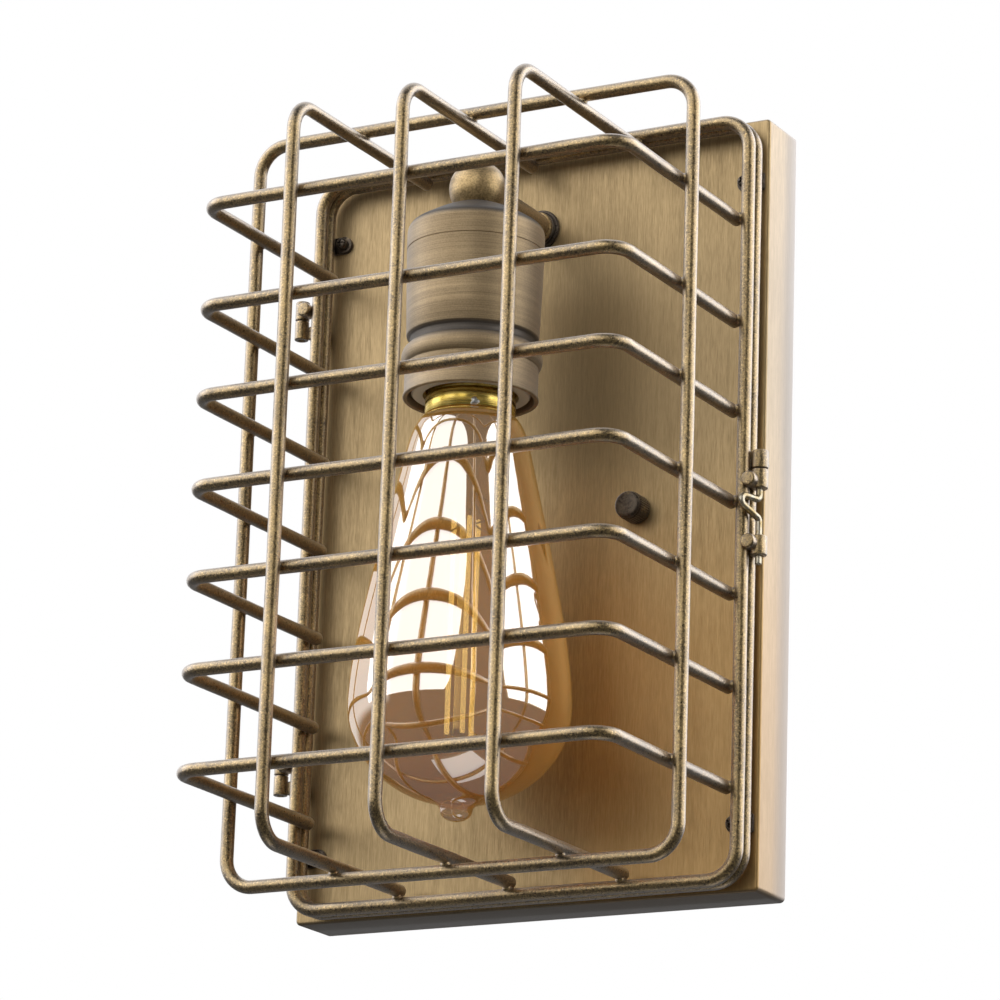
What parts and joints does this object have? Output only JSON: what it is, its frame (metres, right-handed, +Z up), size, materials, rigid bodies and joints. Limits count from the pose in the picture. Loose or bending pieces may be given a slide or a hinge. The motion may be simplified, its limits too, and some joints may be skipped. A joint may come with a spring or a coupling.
{
  "type": "cage wall light",
  "caption": "Wall light with a shallow metal pan, a lampholder hung from a ball elbow, a long clear bulb and a hinged wire cage closed by a sliding latch pin.",
  "frame": {"origin": "on the wall plane, at the middle of the crossbar that is screwed to the wall box", "axes": "+X to the right seen from the room, +Y into the wall, +Z up; the room is at -Y"},
  "size_m": [0.1616, 0.1044, 0.232],
  "materials": {
    "pan_paint": "brushed antique brass lacquer",
    "wire_brass": "mottled antique brass",
    "tab_bronze": "dark bronze",
    "pin_wire": "pale worn wire",
    "knob_bronze": "dark bronze with worn brass edges",
    "elbow_brass": "brushed antique brass",
    "cup_bronze": "brushed antique bronze",
    "cap_brass": "bright brass",
    "zinc_steel": "zinc plated",
    "ground_green": "green dyed zinc",
    "porcelain": "white glaze",
    "dark_insulator": "black glass",
    "amber_glass": "pale amber, clear",
    "stem_glass": "clear",
    "filament_amber": "coated filament rods"
  },
  "bodies": {
    "base": {"wall_pan": "pan_paint", "crossbar": "zinc_steel", "crossbar_studs": "cap_brass", "stud_lock_nuts": "zinc_steel", "ground_screw": "ground_green", "arm_flange": "tab_bronze", "support_arm": "elbow_brass", "arm_washer": "zinc_steel", "arm_lock_nut": "zinc_steel", "ball_elbow": "elbow_brass", "holder_nipple": "cap_brass", "nipple_nut": "zinc_steel", "socket_cup": "cup_bronze", "holder_cap": "cap_brass", "socket_insulator": "porcelain", "socket_screw_shell": "cap_brass", "centre_contact": "cap_brass", "fixed_frame": "wire_brass", "frame_tabs": "tab_bronze", "frame_screws": "tab_bronze", "fixed_hinge_knuckles": "wire_brass", "hinge_pins": "pin_wire", "latch_keeper": "wire_brass"},
    "knob_left": {"knob_left": "knob_bronze"},
    "knob_right": {"knob_right": "knob_bronze"},
    "cage": {"cage_base_frame": "wire_brass", "cage_mid_ring": "wire_brass", "cage_hoop_1": "wire_brass", "cage_hoop_2": "wire_brass", "cage_hoop_3": "wire_brass", "cage_hoop_4": "wire_brass", "cage_hoop_5": "wire_brass", "cage_hoop_6": "wire_brass", "cage_hoop_7": "wire_brass", "cage_upright_left": "wire_brass", "cage_upright_centre": "wire_brass", "cage_upright_right": "wire_brass", "cage_hinge_knuckles": "wire_brass", "latch_guides": "wire_brass"},
    "latch_pin": {"latch_pin": "pin_wire"},
    "bulb": {"bulb_glass": "amber_glass", "bulb_screw_cap": "cap_brass", "bulb_cap_insulator": "dark_insulator", "bulb_contact": "zinc_steel", "bulb_stem": "stem_glass", "bulb_supports": "zinc_steel", "bulb_filament": "filament_amber"}
  },
  "joints": [
    {"name": "cage_hinge", "type": "hinge", "parent": "base", "child": "cage", "pos_m": [-0.0798, -0.02343, 0], "axis": [0, 0, -1], "range_deg": [0, 105]},
    {"name": "latch_slide", "type": "slide", "parent": "cage", "child": "latch_pin", "axis": [0, 0, -1], "range_m": [-0.0022, 0.0036]},
    {"name": "bulb_turn", "type": "hinge", "parent": "base", "child": "bulb", "pos_m": [0, -0.0573, 0.02634], "axis": [0, 0, 1], "continuous": true},
    {"name": "knob_left_turn", "type": "hinge", "parent": "base", "child": "knob_left", "pos_m": [-0.035, -0.018, 0], "axis": [0, -1, 0], "continuous": true},
    {"name": "knob_right_turn", "type": "hinge", "parent": "base", "child": "knob_right", "pos_m": [0.035, -0.018, 0], "axis": [0, -1, 0], "continuous": true}
  ]
}
